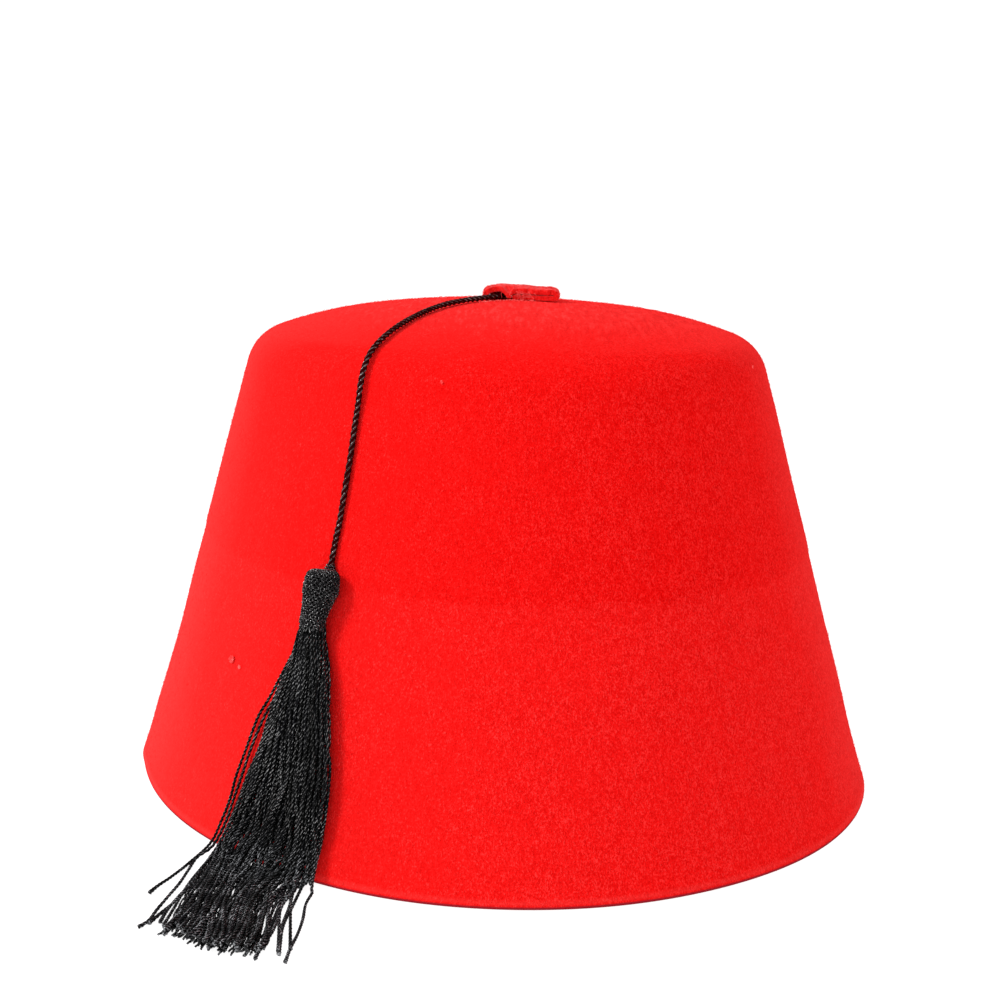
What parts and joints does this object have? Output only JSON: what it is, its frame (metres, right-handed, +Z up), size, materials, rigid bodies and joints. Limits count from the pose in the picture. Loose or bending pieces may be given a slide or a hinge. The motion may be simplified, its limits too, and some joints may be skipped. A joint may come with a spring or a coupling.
{
  "type": "fez hat",
  "caption": "Felt fez hat: a hollow tapered body with a domed top, a folded felt tab, and a twisted cord that carries a tassel down the front left.",
  "frame": {"origin": "centre of the rim, on the surface that the hat stands on", "axes": "+Z up, -Y towards the front where the picture was taken, +X to the right as seen from the front"},
  "size_m": [0.1891, 0.215, 0.1229],
  "materials": {
    "red_felt": "matte pressed wool felt with fine fibres",
    "red_tab_felt": "matte thin wool felt",
    "black_cord": "twisted rayon cord with a soft sheen",
    "black_strands": "twisted rayon strands with a soft sheen"
  },
  "bodies": {
    "root": {"crown": "red_felt", "stem_tab": "red_tab_felt", "tassel_cord": "black_cord", "tassel": "black_strands"}
  },
  "joints": []
}
